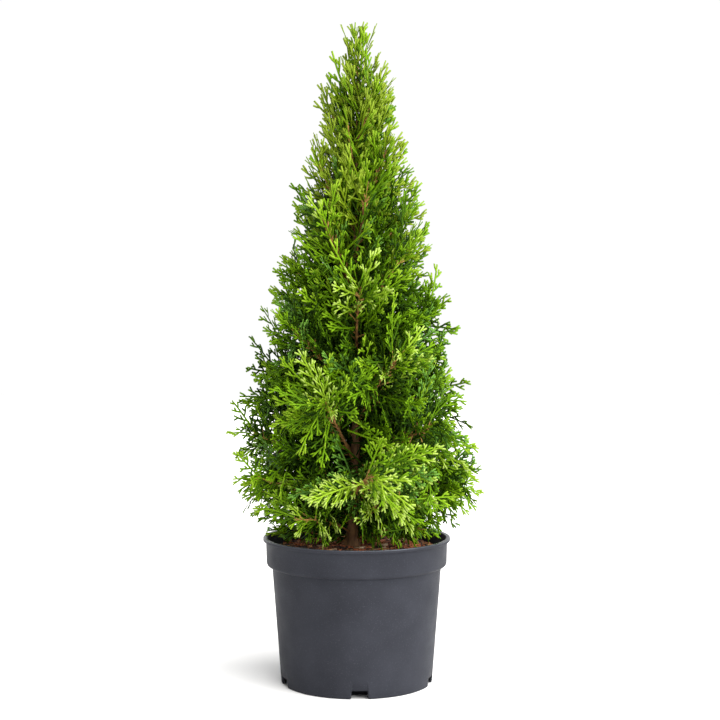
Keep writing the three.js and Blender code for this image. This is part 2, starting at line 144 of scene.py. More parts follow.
# How much the sprays of a limb differ from its rule. The angle and the turn, in radians, go to either side.
UNEVEN = Values(angle=8.0, turn=0.5, length=(0.8, 1.15))
SKIRT = Values(
    limbs=14, per_limb=5,
    roots=(0.3, 0.9),  # of the limb's length, between which they root
    spread=1.1,  # radians, to either side of the limb
    fall=(76.0, 126.0),  # from straight up, least and most
    length=(38.0, 66.0),
    front=0.7,  # in front they are only this part as long
)
SHOOTS = Values(
    count=10, per_shoot=20, girth=0.5, lowest=3.0, highest=30.0,
    bearing=3.3, sweep=0.2, roll=0.5,  # radians, and the bearing is that of the first
    foot_angle=(22.0, 40.0), tip_angle=(-6.0, 4.0),
    reach=(0.9, 0.99),  # of the crown's radius, least and most
)
INNER = Values(
    per_limb=(9, 3), uneven=(0.8, 1.2), uneven_tilt=15.0,
    rise=12.0,  # over which they root, above the limb's foot
    share=0.5,  # of the crown's radius
    tilt=(75.0, 30.0),  # from straight up
    tones=2.5,  # how many of the darkest tones they take, as painted shade
    lighter=0.9,  # and how much lighter they are at the top, as painted light
)
LEADER = Values(
    girth=(1.1, 0.5),  # its radius, from foot to tip
    sprays=20, longest=52.0, uneven=(0.85, 1.1),
    last=0.8,  # of its length, where the last spray roots
    angle=(42.0, 10.0),  # from the first to the last
    reach=1.02,  # of what is left of it
    bright=0.3,  # the share of its sprays that aren't olive
    end=(0.74, 0.25),  # where the spray that carries its line on roots, and how long that is
)
# How far, least and most, a spray's tip may pass the crown's outline. A share of them stand out as fingers.
FRINGE = Values(inner=(-22.0, -4.0), outer=(0.0, 8.0), fingers=0.35)
TRIM = 9.0  # how far the end of an axis or a twiglet may pass it
TUFT = Values(foot=560.0, widening=14.0)  # the crown's top is blunter than its cone
CLEAR = Values(wall=4.0, below=2.0, top=1.5)  # kept free inside the pot's wall, over lip and soil, at the tip
# Where trunk and boughs show from the front: a slot up the middle, and two hollows below it.
SLOT = Values(heights=(345.0, 585.0), half_width=8.5, wave=17.0)
HOLLOW = Values(
    core=0.6,  # the part of a hollow that axes and twiglets don't end in
    emptied=0.75,  # the share of the sprays that would cross a hollow and don't grow
    crossed=(0.4, 0.7, 1.0),  # of the spray's length, where that is tested
    in_front=8.0,  # of the trunk
)
HOLLOWS = (  # middle, half width and half height: the bare boughs, and the trunk's foot
    (244.0, 22.0, 42.0),
    (157.0, 17.0, 25.0),
)

# Plain greens, from the painted shade of the inside to the youngest tips, then the cool ones and the olive of
# older axes.
TONES = {
    "shade": (0.014, 0.038, 0.002),
    "deep": (0.042, 0.098, 0.002),
    "mid": (0.088, 0.184, 0.003),
    "bright": (0.134, 0.255, 0.005),
    "tip": (0.2, 0.325, 0.016),
    "lime": (0.31, 0.43, 0.075),
    "cool": (0.048, 0.12, 0.014),
    "cool_tip": (0.11, 0.24, 0.03),
    "olive": (0.116, 0.182, 0.005),
    "olive_tip": (0.19, 0.27, 0.02),
}
DEEP, BRIGHT, TIP, LIME, COOL, OLIVE = (
    list(TONES).index(name) for name in ("deep", "bright", "tip", "lime", "cool", "olive")
)
# Painted light and shade: sprays in the crown's middle take darker tones, and sprays outside, high up and in
# front take brighter ones, partly for the paler young growth.
LIGHT = Values(  # how a spray's tone, as a place in the list, follows from where it roots
    low=340.0,  # a spray that roots under this height is a low one
    least=0.55,
    outward=1.1,  # added from the middle to the crown's outside
    front=(2.6, 2.2),  # added from the middle to the front, for low and for high sprays
    high=0.65,  # added to high ones
    uneven=1.4,
    pale_front=25.0,  # some low sprays further forward than this,
    pale_half_width=60.0,  # and no further aside than this, are paler
    pale_share=0.3,
    paler=1.5,
    olive_from=400.0,  # above this height more and more sprays are olive,
    olive_rise=120.0,  # until this much higher the share of them is full
    olive_share=0.65,
    cool_share=0.06,
    narrowest=10.0,  # the least radius that the way out is measured against
)
RIDGES = Values(around=3.0, along=0.07)  # how fine the noise is round a limb and along it
BOUGH = Values(length=0.86, girth=0.85)  # the wood of a limb, against the whole of it
SEEDS = Values(limb=1000, inner=2000, skirt=3000, leader=99, chips=5)

# ---- the rule that places trunk and limbs


def lerp(a, b, t):
    return a + (b - a) * t


def swing(rng, most):
    """A random number up to most, to either side."""
    return rng.uniform(-most, most)


def jitter(limb, use):
    """A repeatable number from -1 to 1 for one limb and one use of it."""
    v = math.sin(LIMBS.seed + limb * 12.9898 + use * 78.233) * 43758.5453
    return 2 * (v - math.floor(v)) - 1


def trunk_point(z):
    rise = (z - TRUNK_FOOT) / (TRUNK_TOP - TRUNK_FOOT)
    sway = TRUNK.sway * np.sin(2 * np.pi * TRUNK.sway_turns * rise)
    x = lerp(TRUNK.foot_x, TRUNK.top_x, np.minimum(rise, 1)) + sway
    return np.stack([x, sway, z * np.ones_like(x)], axis=-1)


def trunk_radius(z):
    rise = np.clip((z - TRUNK_FOOT) / (TRUNK_TOP - TRUNK_FOOT), 0, 1)
    stem = lerp(TRUNK.foot_radius, TRUNK.top_radius, rise ** TRUNK.taper)
    return stem + TRUNK.flare * np.exp(-(z - TRUNK_FOOT) / TRUNK.flare_height)


def crown_radius(z):
    below = CROWN.radius * (1 - CROWN.hem * ((CROWN.widest - z) / CROWN.hem_drop) ** 2)
    left = np.clip((TOTAL_HEIGHT - z) / (TOTAL_HEIGHT - CROWN.widest), 0, 1)
    return np.where(z < CROWN.widest, below, CROWN.radius * left ** CROWN.taper)


class Limb:
    """One limb of the spiral: it leaves the trunk at foot_angle and bends evenly to tip_angle. Its share is
    its place among the limbs, from 0 for the lowest to 1 for the highest."""

    def __init__(self, i):
        self.i = i
        self.share = i / (LIMBS.count - 1)
        rise = lerp(LIMBS.lowest, LIMBS.highest, self.share ** LIMBS.crowding)
        self.foot_z = TRUNK_FOOT + rise
        self.bearing = i * GOLDEN_ANGLE + LIMB_UNEVEN.bearing * jitter(i, 1)
        self.sweep = LIMB_UNEVEN.sweep * jitter(i, 2)
        foot_angle = lerp(*LIMBS.foot_angle, self.share) + LIMB_UNEVEN.foot_angle * jitter(i, 3)
        self.foot_angle = math.radians(foot_angle)
        tip_angle = lerp(*LIMBS.tip_angle, self.share ** LIMBS.levelling)
        self.tip_angle = math.radians(tip_angle + LIMB_UNEVEN.tip_angle * jitter(i, 4))
        self.roll = LIMBS.roll * jitter(i, 5)
        self.reach_out(CROWN.reach + (1 - CROWN.reach) * jitter(i, 6))

    def reach_out(self, share):
        """Gives the limb the length that takes its tip to this share of the crown's radius there."""
        short, long = 10.0, 400.0
        while long - short > 0.01:
            self.length = (short + long) / 2
            out, up = self.offset(self.length)
            if out < share * crown_radius(self.foot_z + up):
                short = self.length
            else:
                long = self.length

    def offset(self, s):
        """How far out and up the limb has come at a distance along it."""
        bend = (self.tip_angle - self.foot_angle) / self.length
        angle = self.foot_angle + bend * s
        out = (np.sin(angle) - math.sin(self.foot_angle)) / bend
        return out, (math.cos(self.foot_angle) - np.cos(angle)) / bend

    def point(self, s):
        out, up = self.offset(s)
        bearing = self.bearing + self.sweep * (s / self.length) ** 2
        foot = trunk_point(self.foot_z)
        return foot + np.stack([out * np.cos(bearing), out * np.sin(bearing), up], axis=-1)

    def radius(self, s):
        girth = lerp(1, LIMBS.upper_girth, self.share)
        thick = lerp(LIMBS.bough_radius, LIMBS.stem_radius, s / (LIMBS.stem_share * self.length))
        return np.maximum(LEAST_GIRTH, girth * thick)


class Shoot(Limb):
    """A thin low branch between the limbs. Shoots fill the crown's lower edge, over the pot's lip."""

    def __init__(self, k):
        self.i = 100 + k
        self.share = 0.0
        share = k / (SHOOTS.count - 1)
        self.foot_z = TRUNK_FOOT + lerp(SHOOTS.lowest, SHOOTS.highest, share)
        self.bearing = SHOOTS.bearing + k * GOLDEN_ANGLE
        self.sweep = SHOOTS.sweep * jitter(self.i, 2)
        self.foot_angle = math.radians(lerp(*SHOOTS.foot_angle, share))
        self.tip_angle = math.radians(lerp(*SHOOTS.tip_angle, share))
        self.roll = SHOOTS.roll * jitter(self.i, 5)
        self.reach_out(lerp(*SHOOTS.reach, 0.5 + 0.5 * jitter(self.i, 6)))

    def radius(self, s):
        return SHOOTS.girth * super().radius(s)


class Leader:
    """The green shoot above the woody trunk, treated as one more limb."""

    i = LIMBS.count
    share = 1.0
    bearing = 0.0
    roll = 0.0
    foot_z = TRUNK_TOP
    length = TRUNK.leader_length

    def point(self, s):
        return trunk_point(self.foot_z + s)

    def radius(self, s):
        return lerp(*LEADER.girth, s / self.length)


def direction_at(limb, s):
    step = 0.5
    along = limb.point(s + step) - limb.point(s - step)
    return along / np.linalg.norm(along)


limbs = [Limb(i) for i in range(LIMBS.count)]
shoots = [Shoot(k) for k in range(SHOOTS.count)]
leader = Leader()

# ---- mesh making


def unit(v):
    return v / np.linalg.norm(v, axis=-1, keepdims=True)


def turned(v, axis, angle):
    """v turned about a unit axis."""
    c, s = math.cos(angle), math.sin(angle)
    return v * c + np.cross(axis, v) * s + axis * np.dot(axis, v) * (1 - c)


def linked(name, data):
    """A new object in the scene, for a mesh, a light or a camera."""
    thing = bpy.data.objects.new(name, data)
    bpy.context.scene.collection.objects.link(thing)
    return thing


def turns_round(sides):
    return 2 * np.pi * np.arange(sides) / sides


def ring_walls(rings, sides, closed):
    """Faces between rings of vertices, and from the last ring to the first where the section is closed."""
    quads = []
    for k in range(rings if closed else rings - 1):
        below, above = k * sides, ((k + 1) % rings) * sides
        for j in range(sides):
            after = (j + 1) % sides
            quads.append([below + j, below + after, above + after, above + j])
    return quads


def quad_object(name, vertices, quads, materials, tones=None, smooth=True):
    """A mesh object from arrays: vertices in millimetres, and faces of four corners each."""
    mesh = bpy.data.meshes.new(name)
    count = len(quads)
    mesh.vertices.add(len(vertices))
    mesh.vertices.foreach_set("co", (np.asarray(vertices) * MM).astype(np.float32).ravel())
    mesh.loops.add(4 * count)
    mesh.loops.foreach_set("vertex_index", np.asarray(quads, np.int32).ravel())
    mesh.polygons.add(count)
    mesh.polygons.foreach_set("loop_start", np.arange(0, 4 * count, 4, dtype=np.int32))
    for material in materials:
        mesh.materials.append(material)
    if tones is not None:
        mesh.polygons.foreach_set("material_index", np.asarray(tones, np.int32))
    mesh.polygons.foreach_set("use_smooth", np.full(count, smooth))
    mesh.update(calc_edges=True)
    return linked(name, mesh)


def dressed(piece, slot, *nodes):
    """Puts a finished piece on the body, in place of its CAD nodes; the slot is not used."""
    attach(piece, BODY)
    if nodes:
        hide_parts(*nodes)


class Ribbons:
    """Collects thin four-sided ribbons, each along a line of points, and joins them in one mesh."""

    def __init__(self, twigs=None):
        self.lines = {}
        self.twigs = twigs

    def add(self, points, widths, normal, tones):
        """points is K by 3, widths has K values, and tones has one index a step, or is one for all. A line
        with no tones is bare wood, and goes with the twigs of the whole plant."""
        if tones is None:
            self.twigs.add(points, widths, normal, 0)
            return
        tones = np.broadcast_to(tones, len(points) - 1)
        self.lines.setdefault(len(points), []).append((points, widths, normal, tones))

    def mesh_arrays(self):
        vertices, quads, tones, first = [], [], [], 0
        for steps, lines in sorted(self.lines.items()):
            points, widths, normals, colours = (np.array(column) for column in zip(*lines))
            half = widths[..., None] / 2
            along = unit(np.gradient(points, axis=1))
            side = unit(np.cross(normals[:, None, :], along))
            up = np.cross(along, side) * half * SPRAY.flatness
            side = side * half
            ring = np.stack([points + side, points + up, points - side, points - up], axis=2)
            vertices.append(ring.reshape(-1, 3))
            start = first + 4 * steps * np.arange(len(lines))[:, None, None]
            step = 4 * np.arange(steps - 1)[None, :, None]
            corner = np.arange(4)[None, None, :]
            after = (corner + 1) % 4
            walls = np.stack([corner + step, after + step, after + step + 4, corner + step + 4], axis=-1)
            quads.append((start[..., None] + walls).reshape(-1, 4))
            tones.append(np.repeat(colours.ravel(), 4))
            cap = start[:, 0, :] + 4 * (steps - 1) + np.arange(4)[None, :]
            quads.append(cap)
            tones.append(colours[:, -1])
            first += 4 * steps * len(lines)
        return np.concatenate(vertices), np.concatenate(quads), np.concatenate(tones)


# ---- sprays


def heading_from(limb, s, angle, turn):
    """The way a side shoot points, at an angle to the limb and turned round it."""
    along = direction_at(limb, s)
    level = np.array([-math.sin(limb.bearing), math.cos(limb.bearing), 0.0])
    level = unit(level - along * level.dot(along))
    return turned(along, turned(level, along, limb.roll + turn), angle)


def level_out(bearing, tilt):
    """A direction at a bearing, and at a tilt from straight up."""
    return np.array([math.sin(tilt) * math.cos(bearing), math.sin(tilt) * math.sin(bearing), math.cos(tilt)])


def maybe_laid(root, direction, rng):
    """Some sprays are laid along the crown's surface and face out, and the others stand out of it. Returns
    the direction, and the turn from facing out."""
    if rng.uniform() > SPRAY.laid:
        return direction, SPRAY.standing_turn
    out = np.array([root[0], root[1], 0.0]) / max(1.0, math.hypot(root[0], root[1]))
    lost = (1 - rng.uniform(*SPRAY.stand_off)) * max(0.0, direction.dot(out))
    return unit(direction - lost * out), SPRAY.laid_turn


def spray_axes(root, direction, turn_out, rng):
    """The spray's axes: along it, across it, and out of its flat side. That side is about upright, and turned
    from facing out by an angle in turn_out, to whichever side suits the direction."""
    x, y, _ = root + SPRAY.ahead * direction
    bearing = math.atan2(y, x)
    turns = np.radians(rng.uniform(*turn_out, 2)) * (1, -1)
    tilt = SPRAY.tilt
    sides = [level_out(bearing + turn, math.pi / 2 + rng.uniform(-tilt, tilt)) for turn in turns]
    flat = min(sides, key=lambda side: abs(side.dot(direction)))
    flat = unit(flat - direction * flat.dot(direction))
    return direction, np.cross(flat, direction), flat


def outside(point, fringe):
    """Whether a point passes the crown's outline by more than the fringe, or is in the pot or the soil."""
    x, y, z = point
    out = math.hypot(x, y)
    over_pot = out > POT.band_radius - POT.wall - CLEAR.wall
    floor = (POT.height if over_pot else SOIL_TOP) + CLEAR.below
    tuft = TUFT.widening * max(0.0, (z - TUFT.foot) / (TOTAL_HEIGHT - TUFT.foot))
    return z > TOTAL_HEIGHT - CLEAR.top or z < floor or out > crown_radius(z) + tuft + fringe


def in_slot(point):
    """Whether a point is in the slot in front of the trunk, which comes and goes with height."""
    x, y, z = point
    low, high = SLOT.heights
    if y > 0 or not low < z < high:
        return False
    wave = math.sin(z / SLOT.wave) + 0.6 * math.sin(z / (0.37 * SLOT.wave))
    return abs(x - trunk_point(z)[0]) < SLOT.half_width * (0.5 + 0.5 * wave)


def in_hollow(point, part):
    """Whether a point is in the given part of one of the hollows in front of the trunk."""
    x, y, z = point
    for middle, half_width, half_height in HOLLOWS:
        across = (x - TRUNK.foot_x) / (part * half_width)
        upward = (z - middle) / (part * half_height)
        if y < -HOLLOW.in_front and across**2 + upward**2 < 1:
            return True
    return False


def curl(axes, local, length, share):
    """Points of the spray's own plane in space: it cups a little and bends towards or off the ground."""
    x, y = local[..., 0], local[..., 1]
    fall = -SPRAY.droop if axes[2][2] > 0 else SPRAY.droop
    z = local[..., 2] + fall * x * np.abs(x) / length - SPRAY.cup * np.abs(y) * np.sign(axes[2][2])
    points = x[..., None] * axes[0] + y[..., None] * axes[1] + z[..., None] * axes[2]
    points[..., 2] -= lerp(*SPRAY.sag, share ** LIMBS.levelling) * x * np.abs(x) / length
    return points


def bent_line(start, heading, length, curve, steps, lean=0.0):
    """Points from start whose heading turns by curve in the plane, and which lean out of the plane."""
    part = length / (steps - 1)
    headings = heading + curve * (np.arange(steps - 1) + 0.5) / (steps - 1)
    moves = part * np.stack([np.cos(headings), np.sin(headings), np.full(steps - 1, lean)], axis=-1)
    return np.vstack([start, start + np.cumsum(moves, axis=0)])


def younger(tone):
    """The tone of a twiglet on an axis of the given tone."""
    return tone if tone == LIME else tone + 1


def grow_spray(growth, root, axes, share, length, tone, rng):
    """One flat spray: a main axis, side axes that alternate on it, and twiglets that alternate on those."""
    grain = {name: lerp(*ends, share) for name, ends in GRAIN.items()}
    nodes = max(3, round(SPRAY.noded * length / grain["node"]))
    curve = swing(rng, SPRAY.main_curve)
    main = bent_line(np.zeros(3), 0.0, length, curve, nodes + 2)
    widths = np.linspace(*SPRAY.main_width, nodes + 2)
    bare = max(1, round(SPRAY.bare * nodes))
    tones = np.append(np.full(nodes - bare, tone), younger(tone))
    lines = [
        (main[: bare + 1], SPRAY.bare_width * widths[: bare + 1], None),
        (main[bare:], widths[bare:], tones),
    ]
    side = rng.choice((-1, 1))
    for k in range(1, nodes + 1):
        side = -side
        along = k / (nodes + 1)
        heading = curve * along + side * math.radians(lerp(*SIDE.angle, along))
        heading += swing(rng, SIDE.wander)
        least, rate = SIDE.swell
        reach = SIDE.share * length * min(1.0, least + rate * along) * (1 - along) ** SIDE.taper
        reach += rng.uniform(*SIDE.extra) * grain["twig"]
        reach *= rng.uniform(*SIDE.uneven)
        shaded = max(0, tone - darker_by(tone, along, share))
        grow_side_axis(lines, grain, main[k], heading, reach, side, shaded, rng)
    for points, widths, tones in lines:
        placed = root + curl(axes, points, length, share)
        tip = placed[-1]
        if not (outside(tip, TRIM) or in_slot(tip) or in_hollow(tip, HOLLOW.core)):
            growth.add(placed, np.asarray(widths) * grain["width"], axes[2], tones)


def darker_by(tone, along, share):
    """How many tones darker a side axis is near the spray's foot, if it isn't pale, cool or olive: painted
    shade of the crown's inside, partly the darker older foliage.
    """
    if tone >= TIP:
        return 0
    return (along < 0.6) + (along < 0.3 and share < 0.5)


def grow_side_axis(lines, grain, start, heading, length, side, tone, rng):
    """A side axis and its twiglets. A short one is a twiglet itself."""
    young = younger(tone)
    lean = swing(rng, SIDE.ruffle)
    nodes = round(length / grain["twig_node"]) - 1
    curve = SIDE.curve * side
    line = bent_line(start, heading, length, curve, nodes + 2 if nodes > 0 else 3, lean)
    widths = np.linspace(*SIDE.width, len(line))
    widths[-1] = SIDE.tip_width
    tones = np.full(len(line) - 1, tone)
    tones[-1] = young
    lines.append((line, widths, tones))
    of_rest, of_twig = TWIGLET.length
    turn = side
    for k in range(1, nodes + 1):
        turn = -turn
        left = length * (1 - k / (nodes + 1))
        reach = min(grain["twig"], of_rest * left + of_twig * grain["twig"]) * rng.uniform(*TWIGLET.uneven)
        bearing = heading + curve * k / (nodes + 1) + turn * math.radians(TWIGLET.angle)
        bearing += swing(rng, TWIGLET.wander)
        tilt = lean + swing(rng, TWIGLET.tilt)
        if tone <= DEEP:
            lines.append((bent_line(line[k], bearing, reach, 0.0, 2, tilt), TWIGLET.dark_width, tone))
        else:
            twig = bent_line(line[k], bearing, reach, TWIGLET.curve * turn, 3, tilt)
            lines.append((twig, TWIGLET.width, (tone, young)))


def fit_spray(growth, root, direction, share, length, tone, rng, turn_out=SPRAY.other_turn):
    """Grows the spray at the largest of a few sizes whose tip and sides stay inside the crown."""
    emptied = rng.uniform() < HOLLOW.emptied
    if emptied and any(in_hollow(root + part * length * direction, 1.0) for part in HOLLOW.crossed):
        return
    axes = spray_axes(root, direction, turn_out, rng)
    finger = rng.uniform() < FRINGE.fingers or share == 1
    fringe = rng.uniform(*(FRINGE.outer if finger else FRINGE.inner))
    for size in SPRAY.sizes:
        reach = length * size
        if reach < SPRAY.least:
            return
        corners = reach * np.array(SPRAY.corners)
        if not any(outside(p, fringe) for p in root + curl(axes, corners, reach, share)):
            grow_spray(growth, root, axes, share, reach, tone, rng)
            return


def outer_tone(root, rng):
    """Greens by place: dark inside, which is painted shade, and bright outside and brightest low in front,
    which is painted light and partly the paler young growth. High up they turn olive, and a few are cool
    anywhere."""
    x, y, z = root
    out = math.hypot(x, y) / max(LIGHT.narrowest, float(crown_radius(z)))
    low = z < LIGHT.low
    front = max(0.0, -y / CROWN.radius) * LIGHT.front[0 if low else 1]
    value = LIGHT.least + LIGHT.outward * out + front + (0.0 if low else LIGHT.high)
    value += swing(rng, LIGHT.uneven)
    pale = low and y < -LIGHT.pale_front and abs(x) < LIGHT.pale_half_width
    if pale and rng.uniform() < LIGHT.pale_share:
        value += LIGHT.paler
    high = np.clip((z - LIGHT.olive_from) / LIGHT.olive_rise, 0, 1)
    if rng.uniform() < LIGHT.olive_share * high:
        return OLIVE
    return COOL if rng.uniform() < LIGHT.cool_share else int(np.clip(round(value), DEEP, TIP))


def limb_sprays(limb, growth, count):
    """Sprays go round the limb by quarter turns, as in the source, only closer together."""
    rng = np.random.default_rng(SEEDS.limb + limb.i)
    share = lerp(*SPRAY.share, limb.share)
    longest = min(max(share * limb.length, SPRAY.shortest), SPRAY.longest)
    ends = lerp(*SPRAY.root_angle, limb.share), lerp(*SPRAY.end_angle, limb.share)
    for k in range(count):
        along = (k + 0.5) / count
        s = limb.length * lerp(SPRAY.first, SPRAY.last, along)
        angle = math.radians(lerp(*ends, along) + swing(rng, UNEVEN.angle))
        turn = k * math.pi / 2 + swing(rng, UNEVEN.turn)
        direction = heading_from(limb, s, angle, turn)
        root = limb.point(s)
        direction, turn_out = maybe_laid(root, direction, rng)
        length = longest * rng.uniform(*UNEVEN.length)
        fit_spray(growth, root, direction, limb.share, length, outer_tone(root, rng), rng, turn_out)
    # The sprays that carry the limb on are bright: painted light on the crown's outside, partly the paler young
    # growth.
    for start in SPRAY.end_roots:
        end = start * limb.length
        root = limb.point(end)
        length = SPRAY.end_length * (limb.length - end)
        fit_spray(growth, root, direction_at(limb, end), limb.share, length, BRIGHT, rng)


def skirt_sprays(limb, growth):
    """Sprays that hang from the outer part of the lowest limbs, down towards the pot's lip."""
    rng = np.random.default_rng(SEEDS.skirt + limb.i)
    for k in range(SKIRT.per_limb):
        s = limb.length * lerp(*SKIRT.roots, (k + 0.5) / SKIRT.per_limb)
        bearing = limb.bearing + swing(rng, SKIRT.spread)
        direction = level_out(bearing, math.radians(rng.uniform(*SKIRT.fall)))
        root = limb.point(s)
        direction, turn_out = maybe_laid(root, direction, rng)
        length = rng.uniform(*SKIRT.length) * lerp(1.0, SKIRT.front, max(0.0, -math.sin(bearing)))
        fit_spray(growth, root, direction, 0.0, length, outer_tone(root, rng), rng, turn_out)


def inner_sprays(limb, growth):
    """Shaded sprays straight off the trunk, which fill the crown between the feet of the limbs. Their dark
    tones are painted shade.
    """
    rng = np.random.default_rng(SEEDS.inner + limb.i)
    count = round(lerp(*INNER.per_limb, limb.share))
    for k in range(count):
        z = limb.foot_z + INNER.rise * k / count
        bearing = limb.bearing + (k + 0.5) * GOLDEN_ANGLE
        tilt = lerp(*INNER.tilt, limb.share**0.5) + swing(rng, INNER.uneven_tilt)
        direction = level_out(bearing, math.radians(tilt))
        length = max(SPRAY.shortest, INNER.share * float(crown_radius(z))) * rng.uniform(*INNER.uneven)
        tone = int(rng.uniform(0, INNER.tones) + INNER.lighter * limb.share)
        fit_spray(growth, trunk_point(z), direction, limb.share, length, tone, rng)


def leader_sprays(growth):
    rng = np.random.default_rng(SEEDS.leader)
    for k in range(LEADER.sprays):
        along = k / (LEADER.sprays - 1)
        s = leader.length * lerp(0.0, LEADER.last, along)
        angle = math.radians(lerp(*LEADER.angle, along**0.7))
        direction = heading_from(leader, s, angle, k * GOLDEN_ANGLE)
        length = min(LEADER.reach * (leader.length - s), LEADER.longest) * rng.uniform(*LEADER.uneven)
        tone = BRIGHT if rng.uniform() < LEADER.bright else OLIVE
        fit_spray(growth, leader.point(s), direction, 1.0, length, tone, rng)
    root_share, length_share = LEADER.end
    end = root_share * leader.length
    direction = direction_at(leader, end)
    fit_spray(growth, leader.point(end), direction, 1.0, length_share * leader.length, OLIVE, rng)


# ---- materials


def plain_material(name, colour, roughness):
    material = bpy.data.materials.new(name)
    material.use_nodes = True
    shader = material.node_tree.nodes["Principled BSDF"]
    shader.inputs["Base Color"].default_value = (*colour, 1)
    shader.inputs["Roughness"].default_value = roughness
    return material, shader


def ranged(tree, value, source, result, smooth=True):
    """A node that maps a value from one range to another, and stays within it."""
    node = tree.nodes.new("ShaderNodeMapRange")
    node.interpolation_type = "SMOOTHSTEP" if smooth else "LINEAR"
    for name, number in zip(("From Min", "From Max", "To Min", "To Max"), (*source, *result)):
        node.inputs[name].default_value = number
    tree.links.new(value, node.inputs["Value"])
    return node.outputs["Result"]


def noise_into(material, scale, detail, result=(0, 1), stretch=(1, 1, 1)):
    """A noise pattern in the piece's own space, spread over the range of result."""
    tree = material.node_tree
    place = tree.nodes.new("ShaderNodeTexCoord")
    mapping = tree.nodes.new("ShaderNodeMapping")
    mapping.inputs["Scale"].default_value = stretch
    pattern = tree.nodes.new("ShaderNodeTexNoise")
    pattern.inputs["Scale"].default_value = scale
    pattern.inputs["Detail"].default_value = detail
    tree.links.new(place.outputs["Object"], mapping.inputs["Vector"])
    tree.links.new(mapping.outputs["Vector"], pattern.inputs["Vector"])
    return ranged(tree, pattern.outputs["Fac"], (0.3, 0.7), result, smooth=False)


def bump_into(material, shader, height, distance, strength=1.0):
    bump = material.node_tree.nodes.new("ShaderNodeBump")
    bump.inputs["Distance"].default_value = distance
    bump.inputs["Strength"].default_value = strength
    material.node_tree.links.new(height, bump.inputs["Height"])
    material.node_tree.links.new(bump.outputs["Normal"], shader.inputs["Normal"])


def colour_between(material, shader, share, first, second):
    """A base colour that goes from the first to the second with share. Returns the node that mixes them."""
    ramp = material.node_tree.nodes.new("ShaderNodeMix")
    ramp.data_type = "RGBA"
    ramp.inputs["A"].default_value = (*first, 1)
    ramp.inputs["B"].default_value = (*second, 1)
    material.node_tree.links.new(share, ramp.inputs["Factor"])
    material.node_tree.links.new(ramp.outputs["Result"], shader.inputs["Base Color"])
    return ramp


def dust_over(material, shader, below, colour, scale):
    """Fine pale specks over what the node below gives."""
    tree = material.node_tree
    specks = ranged(tree, noise_into(material, scale, 2), (0.72, 1.0), (0, 0.4))
    top = colour_between(material, shader, specks, colour, colour)
    tree.links.new(below.outputs["Result"], top.inputs["A"])


def foliage_materials():
    """One plain green for each tone, with the small relief of the scale leaves."""
    made = []
    for name, colour in TONES.items():
        material, shader = plain_material("foliage_" + name, colour, roughness=0.42)
        shader.inputs["Specular IOR Level"].default_value = 0.06
        scales = noise_into(material, scale=750, detail=1)
        bump_into(material, shader, scales, distance=0.0004, strength=0.5)
        made.append(material)
    return made


def rugged_material(name, first, second, roughness, relief, **pattern):
    """Two colours in a pattern, from its dark hollows to its lighter ridges."""
    material, shader = plain_material(name, first, roughness)
    height = noise_into(material, **pattern)
    colour_between(material, shader, height, first, second)
    bump_into(material, shader, height, relief)
    return material


def bark_material(name, first, second):
    """Stringy bark."""
    return rugged_material(name, first, second, 0.8, 0.0006, scale=260, detail=5, stretch=(1, 1, 0.18))


def compost_material(name, first, second):
    """Crumbs of one kind."""
    return rugged_material(name, first, second, 0.9, 0.0012, scale=420, detail=6)


def pot_material(name, first, second, gloss, roughness=(0.46, 0.58)):
    """Moulded plastic: two near greys in clouds, specks of dust, a fine grain, and the gloss of its skin."""
    material, shader = plain_material(name, first, roughness=0.42)
    shader.inputs["Specular IOR Level"].default_value = gloss
    shader.inputs["Specular Tint"].default_value = (0.82, 0.9, 1, 1)
    cloudy = noise_into(material, scale=26, detail=3)
    clouds = colour_between(material, shader, cloudy, first, second)
    dust_over(material, shader, clouds, tuple(1.9 * part for part in second), scale=1000)
    rubbed = noise_into(material, scale=60, detail=4, result=roughness)
    material.node_tree.links.new(rubbed, shader.inputs["Roughness"])
    grain = noise_into(material, scale=1500, detail=2)
    bump_into(material, shader, grain, distance=0.00012, strength=0.35)
    return material


# ---- pieces: sprays


def make_sprays(bark):
    """Leaves in pieces of a few limbs each, and the twigs that carry them in one piece."""
    greens = foliage_materials()
    per_piece = 4
    twigs = Ribbons()
    for first in range(0, len(limbs), per_piece):
        group = limbs[first : first + per_piece]
        growth = Ribbons(twigs)
        for limb in group:
            limb_sprays(limb, growth, round(lerp(*SPRAY.per_limb, limb.share)))
            inner_sprays(limb, growth)
            if limb.i < SKIRT.limbs:
                skirt_sprays(limb, growth)
        masses = [f"foliage_{limb.i + 1:02d}" for limb in group]
        leaf_piece(f"leaves_{first + 1:02d}_{first + len(group):02d}", growth, greens, masses)
    growth = Ribbons(twigs)
    for shoot in shoots:
        limb_sprays(shoot, growth, SHOOTS.per_shoot)
    leaf_piece("leaves_low", growth, greens, [])
    growth = Ribbons(twigs)
    leader_sprays(growth)
    leaf_piece("leaves_leader", growth, greens, ["foliage_leader"])
    vertices, quads, _ = twigs.mesh_arrays()
    dressed(quad_object("twigs", vertices, quads, [bark]), "bark")


def leaf_piece(name, growth, greens, masses):
    vertices, quads, tones = growth.mesh_arrays()
    dressed(quad_object(name, vertices, quads, greens, tones), "foliage", *masses)


# ---- pieces: trunk and boughs


